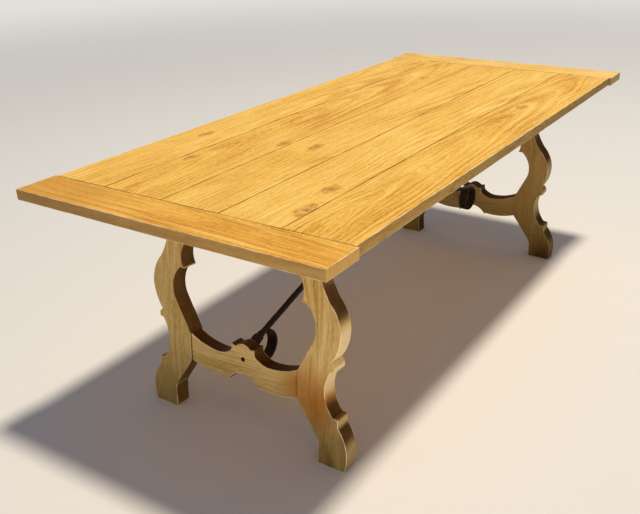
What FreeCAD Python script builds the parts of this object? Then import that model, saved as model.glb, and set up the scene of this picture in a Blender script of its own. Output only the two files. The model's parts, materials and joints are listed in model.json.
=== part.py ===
"""Farmhouse trestle table with lyre legs and forged iron stays.

A plank top with breadboard ends stands on two trestles that lean in towards
the middle. Each trestle is two scroll-cut legs, a shaped crossbar tenoned
between them and a bearer on top. A forged stay runs from a scroll bolted to
each crossbar up to a batten under the middle of the top.

Millimetres, +Z up. The origin is on the floor under the middle of the table.
X runs along the table, Y across it. Left is -X, front is -Y.
"""
import FreeCAD, Part
import math
import os

V = FreeCAD.Vector
UP = V(0, 0, 1)
ALONG = V(1, 0, 0)
ACROSS = V(0, 1, 0)

# The table as a whole
TABLE_HEIGHT = 762.0
TABLE_LENGTH = 2158.0
TABLE_WIDTH = 998.0
TOP_THICKNESS = 31.0

# The boards of the top
END_BOARD_WIDTH = 130.0
END_BOARD_PROUD = 9.0
TONGUE_THICKNESS = 10.0
END_TONGUE_LENGTH = 22.0
EDGE_TONGUE_LENGTH = 9.0
END_TONGUE_SETBACK = 24.0
JOINT_CLEARANCE = 0.2

# The pegs that hold the end boards on the tongues
END_PEG_DIAMETER = 6.0
END_PEG_SETBACK = 8.5

# The trestles: where they stand, how they lean and what stock they are
TRESTLE_OVERHANG = 277.0
TRESTLE_LEAN = 4.7
BOARD_THICKNESS = 52.0
FOOT_SPAN = 712.0
GLUE_LINE_HALF = 265.0
OVERRUN = 20.0

# The crossbar between the legs
CROSSBAR_LENGTH = 394.0
CROSSBAR_BASE_HEIGHT = 179.0
CROSSBAR_DEPTH = 90.0
CROSSBAR_THICKNESS = 44.0
CROSSBAR_TENON_LENGTH = 45.0
CROSSBAR_TENON_DEPTH = 60.0
CROSSBAR_TENON_THICKNESS = 16.0
BOLT_HEIGHT = 240.0

# The bearer on top of each pair of legs
BEARER_LENGTH = 820.0
BEARER_WIDTH = 72.0
BEARER_HEIGHT = 42.0
BEARER_NOSE_HEIGHT = 16.0
BEARER_NOSE_LENGTH = 60.0
LEG_TENON_WIDTH = 54.0
LEG_TENON_THICKNESS = 24.0
LEG_TENON_LENGTH = 28.0
LEG_TENON_HALF = 215.0
BEARER_PEG_DIAMETER = 9.0

# The batten under the middle of the top
BATTEN_LENGTH = 860.0
BATTEN_WIDTH = 156.0
BATTEN_THICKNESS = 25.0
BATTEN_NOSE_LENGTH = 18.0
BATTEN_NOSE_HEIGHT = 10.0
BATTEN_SCREW_SPACING = 116.0

# Wood screws through the bearers and the batten into the top
SCREW_DIAMETER = 5.0
SCREW_HEAD_DIAMETER = 10.0
SCREW_HEAD_HEIGHT = 3.5
SCREW_GRIP = 20.0
SCREW_POCKET_DEPTH = 12.0
SCREW_CLEARANCE = 0.15

# The forged scroll at the crossbar
SCROLL_RADIUS = 50.0
SCROLL_LIFT = 8.0
SCROLL_TIP_GAP = 0.8
RIBBON_THICKNESS = 9.0
RIBBON_WIDTH = 30.0
SEAT_DEPTH = 1.0

# The stay's bar, its path and its foot under the batten
BAR_WIDTH = 13.0
BAR_THICKNESS = 11.0
BAR_OFFSET = 39.0
BAR_PITCH = 16.5
bar_straight_share = 0.37
bar_bend_share = 0.34
FLARE_LENGTH = 46.0
FLARE_DIP = 4.0
FOOT_PLATE_LENGTH = 58.0
FOOT_PLATE_WIDTH = 34.0
FOOT_PLATE_THICKNESS = 5.0
FOOT_GAP = 24.0
FOOT_SCARF_LENGTH = 16.0
FOOT_HEEL_LENGTH = 14.0
FOOT_SCREW_DIAMETER = 4.0
FOOT_SCREW_HEAD_DIAMETER = 8.0
FOOT_SCREW_LENGTH = 22.0
FOOT_SCREW_SPACING = 23.0
FOOT_SCREW_SETBACK = 14.0

# The bolt that holds the scroll, sunk in the crossbar's outer face
BOLT_DIAMETER = 8.0
BOLT_HEAD_DIAMETER = 13.0
BOLT_HEAD_HEIGHT = 8.0
BOLT_SOCKET_FLATS = 6.0
BOLT_SOCKET_DEPTH = 4.0
BOLT_PROUD = 2.5
BOLT_CLEARANCE = 0.25
COUNTERBORE_DIAMETER = 14.5
COUNTERBORE_DEPTH = 22.0
WASHER_DIAMETER = 24.0
WASHER_THICKNESS = 2.0
NUT_FLATS = 13.0
NUT_HEIGHT = 6.5
SPOT_FACE_MARGIN = 1.0

# The joints between the planks and the pegs in their tongues, laid out by
# hand: places across the table as shares of the planks' half width
plank_joint_shares = (-0.586, -0.193, 0.198, 0.619)
end_peg_shares = (-0.905, -0.727, -0.528, -0.342, -0.140, 0.073, 0.264, 0.490, 0.694, 0.901)

# Places along the bearers and the batten, as shares of a half length
bearer_screw_shares = (-0.92, -0.35, 0.0, 0.35, 0.92)
batten_screw_shares = (-0.88, -0.33, 0.33, 0.88)

# The leg's outline. The first number of a pair is a share of half the foot
# span, the second a share of the height from the floor to the bearer.
leg_shares = {
    "toe": (0.753, 0.000),
    "toe_top": (0.753, 0.094),
    "shin": (0.736, 0.120),
    "run_end": (0.702, 0.537),
    "hollow_middle": (0.722, 0.601),
    "hollow_end": (0.635, 0.689),
    "cusp": (0.590, 0.688),
    "bite_middle": (0.615, 0.736),
    "bite_end": (0.553, 0.810),
    "step": (0.525, 0.821),
    "neck_inside": (0.497, 0.911),
    "top_inside": (0.522, 1.000),
    "top_outside": (0.743, 1.000),
    "throat": (0.734, 0.951),
    "neck": (0.736, 0.901),
    "neck_swell": (0.775, 0.794),
    "shoulder": (0.848, 0.718),
    "belly_high": (0.916, 0.666),
    "belly": (0.947, 0.598),
    "belly_low": (0.930, 0.536),
    "notch": (0.865, 0.470),
    "tooth_high": (0.896, 0.453),
    "tooth_low": (0.896, 0.431),
    "tooth_root": (0.860, 0.427),
    "waist": (0.806, 0.344),
    "ledge_root": (0.879, 0.228),
    "ledge_tip": (0.930, 0.225),
    "instep": (0.930, 0.190),
    "foot_swell": (1.014, 0.090),
    "heel": (0.997, 0.000),
}

# The crossbar's outline from its end to its middle. The first number of a
# pair is a share of half its length, the second a share of its end's depth,
# measured up from the lower corner of that end.
crossbar_shares = {
    "sag": (0.731, 0.756),
    "dip": (0.487, 0.678),
    "rise": (0.325, 0.744),
    "horn_root": (0.223, 0.900),
    "horn_neck": (0.213, 1.000),
    "horn_tip": (0.216, 1.128),
    "valley": (0.132, 1.089),
    "crown_side": (0.074, 1.178),
    "crown": (0.000, 1.222),
    "belly": (0.599, -0.194),
    "belly_end": (0.335, -0.172),
    "point": (0.289, -0.222),
    "arch": (0.000, 0.144),
}

# Sizes worked out from the ones above
half_length = TABLE_LENGTH / 2
half_width = TABLE_WIDTH / 2
trestle_reach = half_length - TRESTLE_OVERHANG
top_low = TABLE_HEIGHT - TOP_THICKNESS
plank_end = half_length - END_BOARD_WIDTH
planks_half = half_width - END_BOARD_PROUD
plank_edges = [-planks_half] + [share * planks_half for share in plank_joint_shares] + [planks_half]
plank_count = len(plank_edges) - 1
tongue_low = top_low + (TOP_THICKNESS - TONGUE_THICKNESS) / 2
leg_top = top_low - BEARER_HEIGHT
foot_half = FOOT_SPAN / 2
joint_half = CROSSBAR_LENGTH / 2
crossbar_high = CROSSBAR_BASE_HEIGHT + CROSSBAR_DEPTH
batten_low = top_low - BATTEN_THICKNESS
board_half = BOARD_THICKNESS / 2
crossbar_half = CROSSBAR_THICKNESS / 2
lean = math.radians(TRESTLE_LEAN)
leg_tenon_middle = leg_top + LEG_TENON_LENGTH / 2
bearer_reach = trestle_reach - leg_tenon_middle * math.tan(lean)
ribbon_face = crossbar_half - SEAT_DEPTH + RIBBON_THICKNESS


def box(low, high):
    """A box between two corners."""
    size = high - low
    return Part.makeBox(size.x, size.y, size.z, low)


def rod(start, direction, length, diameter):
    """A round bar from a point, along a direction."""
    return Part.makeCylinder(diameter / 2, length, start, direction)


def hexagon_bar(start, length, flats):
    """A six-sided bar along X, measured across its flats."""
    corner = flats / math.sqrt(3)
    points = []
    for side in range(7):
        turn = math.pi * side / 3
        points.append(start + V(0, corner * math.cos(turn), corner * math.sin(turn)))
    return Part.Face(Part.makePolygon(points)).extrude(V(length, 0, 0))


def joined(shapes):
    """Shapes fused into one clean solid."""
    whole = shapes[0].multiFuse(shapes[1:]) if len(shapes) > 1 else shapes[0]
    return whole.removeSplitter()


def draw(start, moves):
    """A face whose edge goes through lines and three-point arcs.

    A move is one point for a line, or a middle and an end point for an arc.
    """
    edges = []
    here = start
    for move in moves:
        if len(move) == 1:
            edges.append(Part.LineSegment(here, move[0]).toShape())
        else:
            edges.append(Part.Arc(here, move[0], move[1]).toShape())
        here = move[-1]
    edges.append(Part.LineSegment(here, start).toShape())
    return Part.Face(Part.Wire(edges))


def mirrored(start, moves):
    """The same path on the other side of Y = 0, drawn back to its start."""
    ends = [start] + [move[-1] for move in moves]
    back = []
    for count in range(len(moves), 0, -1):
        middle = list(moves[count - 1][:-1])
        back.append([V(point.x, -point.y, point.z) for point in middle + [ends[count - 1]]])
    return back


def in_trestle(shape):
    """Stands a shape drawn about an upright trestle in the left trestle."""
    placed = shape.copy()
    placed.rotate(V(0, 0, 0), ACROSS, TRESTLE_LEAN)
    placed.translate(V(-trestle_reach, 0, 0))
    return placed


def trestle_point(outward, height):
    """Where a point of the upright trestle lands in the left trestle."""
    x = outward * math.cos(lean) + height * math.sin(lean)
    z = height * math.cos(lean) - outward * math.sin(lean)
    return V(x - trestle_reach, 0, z)


def turned(shape):
    """The same shape at the other end of the table."""
    copy = shape.copy()
    copy.rotate(V(0, 0, 0), UP, 180)
    return copy


def flipped(shape):
    """The same shape on the other side of the table."""
    return shape.mirror(V(0, 0, 0), ACROSS)


# The top

def end_pegs(diameter):
    """The pegs of the left end board, as round bars."""
    x = -plank_end - END_PEG_SETBACK
    places = [V(x, share * planks_half, top_low) for share in end_peg_shares]
    return [rod(place, UP, TOP_THICKNESS, diameter) for place in places]


def bearer_screw_places():
    """Places of the screws through the left bearer."""
    half = BEARER_LENGTH / 2
    return [V(-bearer_reach, share * half, 0) for share in bearer_screw_shares]


def batten_screw_places():
    """Places of the screws through the batten, in two rows."""
    half = BATTEN_LENGTH / 2
    places = []
    for side in (-1, 1):
        for share in batten_screw_shares:
            places.append(V(side * BATTEN_SCREW_SPACING / 2, share * half, 0))
    return places


def pilot_holes():
    """Holes in the underside of the top for every screw."""
    left = bearer_screw_places()
    right = [V(-place.x, place.y, 0) for place in left]
    bore = SCREW_DIAMETER + 2 * SCREW_CLEARANCE
    depth = SCREW_GRIP + SCREW_CLEARANCE
    holes = []
    for place in left + right + batten_screw_places():
        holes.append(rod(V(place.x, place.y, top_low), UP, depth, bore))
    return Part.makeCompound(holes)


def plank(number):
    """One long board, tongued on its back edge and both ends, grooved in front."""
    front, back = plank_edges[number:number + 2]
    tongue_high = tongue_low + TONGUE_THICKNESS
    shapes = [box(V(-plank_end, front, top_low), V(plank_end, back, TABLE_HEIGHT))]
    if number < plank_count - 1:
        far = back + EDGE_TONGUE_LENGTH
        shapes.append(box(V(-plank_end, back, tongue_low), V(plank_end, far, tongue_high)))
    tongue_front = max(front, -planks_half + END_TONGUE_SETBACK)
    tongue_back = min(back, planks_half - END_TONGUE_SETBACK)
    reach = plank_end + END_TONGUE_LENGTH
    shapes.append(box(V(-reach, tongue_front, tongue_low), V(-plank_end, tongue_back, tongue_high)))
    shapes.append(box(V(plank_end, tongue_front, tongue_low), V(reach, tongue_back, tongue_high)))
    board = joined(shapes)
    if number > 0:
        deep = front + EDGE_TONGUE_LENGTH + JOINT_CLEARANCE
        low = V(-plank_end, front, tongue_low - JOINT_CLEARANCE)
        board = board.cut(box(low, V(plank_end, deep, tongue_high + JOINT_CLEARANCE)))
    left_holes = Part.makeCompound(end_pegs(END_PEG_DIAMETER + 2 * JOINT_CLEARANCE))
    return board.cut(left_holes).cut(turned(left_holes)).cut(pilot_holes())


def end_board():
    """The left end board, with the groove for the tongues and its peg holes."""
    board = box(V(-half_length, -half_width, top_low), V(-plank_end, half_width, TABLE_HEIGHT))
    groove_half = planks_half - END_TONGUE_SETBACK + JOINT_CLEARANCE
    groove_end = -plank_end - END_TONGUE_LENGTH - JOINT_CLEARANCE
    low = V(groove_end, -groove_half, tongue_low - JOINT_CLEARANCE)
    high = V(-plank_end, groove_half, tongue_low + TONGUE_THICKNESS + JOINT_CLEARANCE)
    holes = Part.makeCompound(end_pegs(END_PEG_DIAMETER + 2 * JOINT_CLEARANCE))
    return board.cut(box(low, high)).cut(holes)


# The trestles

def leg_point(name):
    """A named point of the leg's outline, in the upright trestle."""
    across, up = leg_shares[name]
    return V(0, across * foot_half, up * leg_top)


def leg_blank():
    """The whole back leg as sawn from its glued-up board, standing upright."""
    p = leg_point
    below = V(0, 0, -OVERRUN)
    above = V(0, 0, OVERRUN)
    moves = [
        [p("toe")],
        [p("toe_top")],
        [p("shin")],
        [V(0, joint_half, CROSSBAR_BASE_HEIGHT)],
        [V(0, joint_half, crossbar_high)],
        [p("run_end")],
        [p("hollow_middle"), p("hollow_end")],
        [p("cusp")],
        [p("bite_middle"), p("bite_end")],
        [p("step")],
        [p("neck_inside"), p("top_inside")],
        [p("top_inside") + above],
        [p("top_outside") + above],
        [p("top_outside")],
        [p("throat"), p("neck")],
        [p("neck_swell"), p("shoulder")],
        [p("belly_high"), p("belly")],
        [p("belly_low"), p("notch")],
        [p("tooth_high")],
        [p("tooth_low")],
        [p("tooth_root")],
        [p("waist"), p("ledge_root")],
        [p("ledge_tip")],
        [p("instep")],
        [p("foot_swell"), p("heel")],
        [p("heel") + below],
    ]
    blank = draw(p("toe") + below, moves).extrude(V(BOARD_THICKNESS, 0, 0))
    blank.translate(V(-board_half, 0, 0))
    return blank


def leg_boards():
    """The back left leg as its two glued boards, cut to the floor and bearer."""
    blank = leg_blank()
    reach = foot_half + OVERRUN
    height = leg_top + 2 * OVERRUN
    outer = box(V(-board_half, GLUE_LINE_HALF, -OVERRUN), V(board_half, reach, height))
    inner_part = in_trestle(blank.cut(outer))
    outer_part = in_trestle(blank.common(outer))
    low = V(-trestle_reach - reach, 0, 0)
    between = box(low, V(0, reach, leg_top))
    main = inner_part.common(between)
    edge = outer_part.common(between)
    main = joined([main, leg_tenon(0)])
    main = main.cut(in_trestle(crossbar_tenon(JOINT_CLEARANCE)))
    main = main.cut(bearer_peg(BEARER_PEG_DIAMETER + 2 * JOINT_CLEARANCE))
    return main, edge


def leg_tenon(clearance):
    """The upright tenon on the back left leg's top, or its mortise."""
    half_x = LEG_TENON_THICKNESS / 2 + clearance
    half_y = LEG_TENON_WIDTH / 2 + clearance
    low = V(-bearer_reach - half_x, LEG_TENON_HALF - half_y, leg_top)
    high = V(-bearer_reach + half_x, LEG_TENON_HALF + half_y, leg_top + LEG_TENON_LENGTH + clearance)
    return box(low, high)


def bearer_peg(diameter):
    """The peg across the bearer and the back left leg's tenon."""
    start = V(-bearer_reach - BEARER_WIDTH / 2, LEG_TENON_HALF, leg_tenon_middle)
    return rod(start, ALONG, BEARER_WIDTH, diameter)


def crossbar_tenon(clearance):
    """The crossbar's back tenon in the upright trestle, or its mortise."""
    half_x = CROSSBAR_TENON_THICKNESS / 2 + clearance
    half_z = CROSSBAR_TENON_DEPTH / 2 + clearance
    middle = CROSSBAR_BASE_HEIGHT + CROSSBAR_DEPTH / 2
    far = joint_half + CROSSBAR_TENON_LENGTH + clearance
    return box(V(-half_x, joint_half, middle - half_z), V(half_x, far, middle + half_z))


def crossbar_point(name):
    """A named point of the crossbar's outline, in the upright trestle."""
    across, up = crossbar_shares[name]
    return V(0, across * joint_half, CROSSBAR_BASE_HEIGHT + up * CROSSBAR_DEPTH)


def crossbar():
    """The left crossbar with its crown, its tenons and the sunk bolt hole."""
    p = crossbar_point
    high_corner = V(0, joint_half, crossbar_high)
    low_corner = V(0, joint_half, CROSSBAR_BASE_HEIGHT)
    upper = [
        [p("sag"), p("dip")],
        [p("rise"), p("horn_root")],
        [p("horn_neck")],
        [p("horn_tip")],
        [p("valley")],
        [p("crown_side"), p("crown")],
    ]
    lower = [
        [p("belly"), p("belly_end")],
        [p("point")],
    ]
    other_low = V(0, -low_corner.y, low_corner.z)
    path = upper + mirrored(high_corner, upper) + [[other_low]]
    path += [[V(0, -point.y, point.z) for point in move] for move in lower]
    path += [[p("arch"), p("point")]]
    path += [[V(0, -point.y, point.z) for point in move] for move in mirrored(low_corner, lower)]
    bar = draw(high_corner, path).extrude(V(CROSSBAR_THICKNESS, 0, 0))
    bar.translate(V(-crossbar_half, 0, 0))
    tenon = crossbar_tenon(0)
    bar = joined([bar, tenon, flipped(tenon)])
    start = V(-crossbar_half, 0, BOLT_HEIGHT)
    bar = bar.cut(rod(start, ALONG, CROSSBAR_THICKNESS, BOLT_DIAMETER + 2 * BOLT_CLEARANCE))
    bar = bar.cut(rod(start, ALONG, COUNTERBORE_DEPTH, COUNTERBORE_DIAMETER))
    return in_trestle(bar)


def nosed_bar(length, width, low, high, nose_length, nose_height):
    """A bar across the table whose lower corners are rounded away at its ends."""
    half = length / 2
    turn_y = half - nose_length
    nose_z = high - nose_height
    bow = nose_length * (1 - math.sqrt(0.5))
    rise = (nose_z - low) * (1 - math.sqrt(0.5))
    side = [[V(0, half, high)], [V(0, half, nose_z)],
            [V(0, half - bow, low + rise), V(0, turn_y, low)]]
    other = [V(0, -turn_y, low)]
    last = [V(0, bow - half, low + rise), V(0, -half, nose_z)]
    face = draw(V(0, -half, high), side + [other, last])
    bar = face.extrude(V(width, 0, 0))
    bar.translate(V(-width / 2, 0, 0))
    return bar


def bearer():
    """The left bearer with the legs' mortises, the peg holes and screw holes."""
    bar = nosed_bar(BEARER_LENGTH, BEARER_WIDTH, leg_top, top_low, BEARER_NOSE_LENGTH, BEARER_NOSE_HEIGHT)
    bar.translate(V(-bearer_reach, 0, 0))
    for opening in (leg_tenon(JOINT_CLEARANCE), bearer_peg(BEARER_PEG_DIAMETER + 2 * JOINT_CLEARANCE)):
        bar = bar.cut(opening).cut(flipped(opening))
    for place in bearer_screw_places():
        bar = bar.cut(screw_hole(place, leg_top, SCREW_POCKET_DEPTH))
    return bar


# The batten and the screws

def screw_hole(place, low, pocket):
    """A pocket and a bore upwards through a bar whose underside is at low."""
    head = SCREW_HEAD_DIAMETER + 2 * SCREW_CLEARANCE
    bore = SCREW_DIAMETER + 2 * SCREW_CLEARANCE
    seat = low + pocket
    sink = Part.makeCone(head / 2, bore / 2, SCREW_HEAD_HEIGHT, V(place.x, place.y, seat), UP)
    shank = rod(V(place.x, place.y, low), UP, top_low - low, bore)
    parts = [sink, shank]
    if pocket > 0:
        parts.append(rod(V(place.x, place.y, low), UP, pocket, head))
    return joined(parts)


def screw(place, seat, tip, diameter, head_diameter):
    """A countersunk wood screw from its head's flat face up to its tip."""
    start = V(place.x, place.y, seat)
    head = Part.makeCone(head_diameter / 2, diameter / 2, SCREW_HEAD_HEIGHT, start, UP)
    shank = rod(start, UP, tip - seat - diameter, diameter)
    point = Part.makeCone(diameter / 2, 0, diameter, V(place.x, place.y, tip - diameter), UP)
    return joined([head, shank, point])


def bearer_screws():
    """The screws of the left bearer."""
    tip = top_low + SCREW_GRIP
    seat = leg_top + SCREW_POCKET_DEPTH
    places = bearer_screw_places()
    return [screw(place, seat, tip, SCREW_DIAMETER, SCREW_HEAD_DIAMETER) for place in places]


def batten():
    """The batten under the middle of the top, with its screw holes."""
    bar = nosed_bar(BATTEN_LENGTH, BATTEN_WIDTH, batten_low, top_low, BATTEN_NOSE_LENGTH, BATTEN_NOSE_HEIGHT)
    for place in batten_screw_places():
        bar = bar.cut(screw_hole(place, batten_low, 0))
    bore = FOOT_SCREW_DIAMETER + 2 * SCREW_CLEARANCE
    depth = FOOT_SCREW_LENGTH - FOOT_PLATE_THICKNESS + SCREW_CLEARANCE
    for place in foot_screw_places():
        for x in (place.x, -place.x):
            bar = bar.cut(rod(V(x, place.y, batten_low), UP, depth, bore))
    return bar


def batten_screws():
    """The screws of the batten, with their heads in its underside."""
    tip = top_low + SCREW_GRIP
    places = batten_screw_places()
    return [screw(place, batten_low, tip, SCREW_DIAMETER, SCREW_HEAD_DIAMETER) for place in places]


# The iron stays

def scroll_centre():
    """The middle of the left scroll, which seats on the crossbar's inner face."""
    return trestle_point(crossbar_half + SCROLL_RADIUS - SEAT_DEPTH, BOLT_HEIGHT + SCROLL_LIFT)


def stay_axes():
    """The bar's direction where it leaves the scroll, and the direction square to it."""
    pitch = math.radians(BAR_PITCH)
    along = V(math.cos(pitch), 0, math.sin(pitch))
    return along, V(-along.z, 0, along.x)


def scroll_throat():
    """The hub and radius of the tight arc by which the ribbon leaves the bar.

    The arc touches the line of the bar's top and the crossbar's inner face.
    """
    slope = math.sin(math.radians(BAR_PITCH))
    top = BAR_OFFSET + BAR_THICKNESS / 2
    radius = (top - SCROLL_RADIUS * slope) / (1 - slope)
    return scroll_centre() - ALONG * (SCROLL_RADIUS - radius), radius


def arc_about(hub, radius, start_angle, end_angle):
    """The middle and end of an arc in XZ about a hub, for draw()."""
    points = []
    for angle in ((start_angle + end_angle) / 2, end_angle):
        points.append(hub + V(radius * math.cos(angle), 0, radius * math.sin(angle)))
    return points


def scroll():
    """The ribbon, from the bar round to a tip that is scarfed to fit under the bar."""
    centre = scroll_centre()
    hub, throat = scroll_throat()
    normal = stay_axes()[1]
    upright = math.radians(BAR_PITCH) + math.pi / 2
    inside = SCROLL_RADIUS - RIBBON_THICKNESS
    under = BAR_OFFSET - BAR_THICKNESS / 2 - SCROLL_TIP_GAP
    outer_tip = 2 * math.pi + upright - math.acos(under / SCROLL_RADIUS)
    inner_tip = 2 * math.pi + upright - math.acos(under / inside)
    moves = [
        arc_about(hub, throat, upright, math.pi),
        arc_about(centre, SCROLL_RADIUS, math.pi, outer_tip),
        [arc_about(centre, inside, math.pi, inner_tip)[-1]],
        arc_about(centre, inside, inner_tip, math.pi),
        arc_about(hub, throat - RIBBON_THICKNESS, math.pi, upright),
    ]
    ribbon = draw(hub + normal * throat, moves).extrude(V(0, RIBBON_WIDTH, 0))
    ribbon.translate(V(0, -RIBBON_WIDTH / 2, 0))
    return ribbon


def flare():
    """The bar's end, hammered out in a curve to the ribbon's width."""
    along, normal = stay_axes()
    hub, throat = scroll_throat()
    root = hub + normal * throat
    end = root + along * FLARE_LENGTH
    wide = V(0, RIBBON_WIDTH / 2, 0)
    narrow = V(0, BAR_WIDTH / 2, 0)
    waist = (wide + narrow) / 2 - V(0, FLARE_DIP, 0)
    middle = root + along * (FLARE_LENGTH / 2)
    moves = [[middle - waist, end - narrow], [end + narrow], [middle + waist, root + wide]]
    return draw(root - wide, moves).extrude(-normal * RIBBON_THICKNESS)


def stay_side():
    """The bar seen from the side, from the scroll to the tip of its foot.

    Its centre line is a straight, a bend up, a steeper straight and a bend level.
    """
    along, normal = stay_axes()
    hub, throat = scroll_throat()
    pitch = math.radians(BAR_PITCH)
    half = BAR_THICKNESS / 2
    root = hub + normal * throat
    tip_x = -FOOT_GAP / 2
    last = V(tip_x - FOOT_PLATE_LENGTH - FOOT_HEEL_LENGTH, 0, batten_low - half)
    span = last.x - root.x
    bend = bar_bend_share * span
    first = root + along * (bar_straight_share * span) - normal * half
    low_hub = first + normal * bend
    high_hub = last - UP * bend
    gap = high_hub - low_hub
    steep = math.atan2(gap.z, gap.x) + math.asin(2 * bend / gap.Length)
    up_normal = V(-math.sin(steep), 0, math.cos(steep))
    second = low_hub - up_normal * bend
    third = high_hub + up_normal * bend
    inside = bend - half
    outside = bend + half
    quarter = math.pi / 2
    scarf_start = last.x + FOOT_HEEL_LENGTH / 2
    plate_low = batten_low - FOOT_PLATE_THICKNESS
    tongue_x = tip_x - FOOT_PLATE_WIDTH / 2
    moves = [
        [root + along * FLARE_LENGTH - normal * BAR_THICKNESS],
        [first - normal * half],
        arc_about(low_hub, outside, pitch - quarter, steep - quarter),
        [third - up_normal * half],
        arc_about(high_hub, inside, steep + quarter, quarter),
        [V(scarf_start, 0, last.z - half)],
        [V(scarf_start + FOOT_SCARF_LENGTH, 0, plate_low)],
        [V(tongue_x, 0, plate_low)],
        [V(tongue_x, 0, batten_low)],
        [last + UP * half],
        arc_about(high_hub, outside, quarter, steep + quarter),
        [second + up_normal * half],
        arc_about(low_hub, inside, steep - quarter, pitch - quarter),
        [root],
    ]
    return draw(root - normal * RIBBON_THICKNESS, moves)


def foot_plate():
    """The flat foot at the stay's top, with a round nose and two screw holes."""
    nose = FOOT_PLATE_WIDTH / 2
    tip = -FOOT_GAP / 2
    heel = tip - FOOT_PLATE_LENGTH
    waist = BAR_WIDTH / 2
    low = batten_low - FOOT_PLATE_THICKNESS
    shoulder = heel + nose
    moves = [
        [V(shoulder, nose, low)],
        [V(tip - nose, nose, low)],
        [V(tip, 0, low), V(tip - nose, -nose, low)],
        [V(shoulder, -nose, low)],
        [V(heel, -waist, low)],
    ]
    plate = draw(V(heel, waist, low), moves).extrude(V(0, 0, FOOT_PLATE_THICKNESS))
    return plate


def foot_screw_places():
    """Places of the two screws in the left stay's foot, one behind the other."""
    first = -FOOT_GAP / 2 - FOOT_SCREW_SETBACK
    return [V(first - number * FOOT_SCREW_SPACING, 0, 0) for number in range(2)]


def foot_screws():
    """The screws of the left stay's foot, heads flush with the plate."""
    seat = batten_low - FOOT_PLATE_THICKNESS
    tip = seat + FOOT_SCREW_LENGTH
    places = foot_screw_places()
    return [screw(place, seat, tip, FOOT_SCREW_DIAMETER, FOOT_SCREW_HEAD_DIAMETER) for place in places]


def iron_stay():
    """The left stay: a scroll of flat ribbon, the bar with its two bends, the foot."""
    bar = stay_side().extrude(V(0, BAR_WIDTH, 0))
    bar.translate(V(0, -BAR_WIDTH / 2, 0))
    whole = joined([scroll(), flare(), bar, foot_plate()])
    seat_middle = V(crossbar_half, 0, BOLT_HEIGHT + SCROLL_LIFT)
    corner = V(0, RIBBON_WIDTH, SCROLL_RADIUS)
    wall = box(seat_middle - corner - ALONG * CROSSBAR_THICKNESS, seat_middle + corner)
    whole = whole.cut(in_trestle(wall))
    seat = V(ribbon_face, 0, BOLT_HEIGHT)
    spot = rod(seat, ALONG, RIBBON_THICKNESS, WASHER_DIAMETER + 2 * SPOT_FACE_MARGIN)
    hole = rod(V(0, 0, BOLT_HEIGHT), ALONG, SCROLL_RADIUS, BOLT_DIAMETER + 2 * BOLT_CLEARANCE)
    whole = whole.cut(in_trestle(spot)).cut(in_trestle(hole))
    for place in foot_screw_places():
        low = V(place.x, place.y, batten_low - FOOT_PLATE_THICKNESS)
        bore = FOOT_SCREW_DIAMETER + 2 * SCREW_CLEARANCE
        head = FOOT_SCREW_HEAD_DIAMETER + 2 * SCREW_CLEARANCE
        sink = Part.makeCone(head / 2, bore / 2, SCREW_HEAD_HEIGHT, low, UP)
        whole = whole.cut(joined([sink, rod(low, UP, FOOT_PLATE_THICKNESS, bore)]))
    return whole.removeSplitter()


def stay_bolt():
    """The socket-head bolt that holds the left scroll to the crossbar."""
    seat = COUNTERBORE_DEPTH - crossbar_half
    head_start = V(seat - BOLT_HEAD_HEIGHT, 0, BOLT_HEIGHT)
    end = ribbon_face + WASHER_THICKNESS + NUT_HEIGHT + BOLT_PROUD
    head = rod(head_start, ALONG, BOLT_HEAD_HEIGHT, BOLT_HEAD_DIAMETER)
    shank = rod(V(seat, 0, BOLT_HEIGHT), ALONG, end - seat, BOLT_DIAMETER)
    socket = hexagon_bar(head_start, BOLT_SOCKET_DEPTH, BOLT_SOCKET_FLATS)
    return in_trestle(joined([head, shank]).cut(socket))


def stay_washer():
    """The washer between the ribbon and the nut."""
    start = V(ribbon_face, 0, BOLT_HEIGHT)
    disc = rod(start, ALONG, WASHER_THICKNESS, WASHER_DIAMETER)
    return in_trestle(disc.cut(rod(start, ALONG, WASHER_THICKNESS, BOLT_DIAMETER + 2 * BOLT_CLEARANCE)))


def stay_nut():
    """The nut inside the scroll."""
    start = V(ribbon_face + WASHER_THICKNESS, 0, BOLT_HEIGHT)
    nut = hexagon_bar(start, NUT_HEIGHT, NUT_FLATS)
    return in_trestle(nut.cut(rod(start, ALONG, NUT_HEIGHT, BOLT_DIAMETER + 2 * BOLT_CLEARANCE)))


def build():
    """Every piece of the table, by name."""
    pieces = {}
    for number in range(plank_count):
        pieces["plank_%d" % (number + 1)] = plank(number)
    pieces["centre_batten"] = batten()
    pieces["batten_screws"] = Part.makeCompound(batten_screws())
    main, edge = leg_boards()
    peg = bearer_peg(BEARER_PEG_DIAMETER)
    pieces["leg_left_back"] = main
    pieces["leg_left_front"] = flipped(main)
    pieces["leg_edge_left_back"] = edge
    pieces["leg_edge_left_front"] = flipped(edge)
    pieces["leg_right_back"] = turned(flipped(main))
    pieces["leg_right_front"] = turned(main)
    pieces["leg_edge_right_back"] = turned(flipped(edge))
    pieces["leg_edge_right_front"] = turned(edge)
    ends = {
        "end_board": end_board(),
        "end_board_pegs": Part.makeCompound(end_pegs(END_PEG_DIAMETER)),
        "crossbar": crossbar(),
        "bearer": bearer(),
        "bearer_pegs": Part.makeCompound([peg, flipped(peg)]),
        "bearer_screws": Part.makeCompound(bearer_screws()),
        "iron_stay": iron_stay(),
        "stay_bolt": stay_bolt(),
        "stay_washer": stay_washer(),
        "stay_nut": stay_nut(),
        "stay_foot_screws": Part.makeCompound(foot_screws()),
    }
    for name, shape in ends.items():
        pieces[name + "_left"] = shape
        pieces[name + "_right"] = turned(shape)
    return pieces


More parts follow.
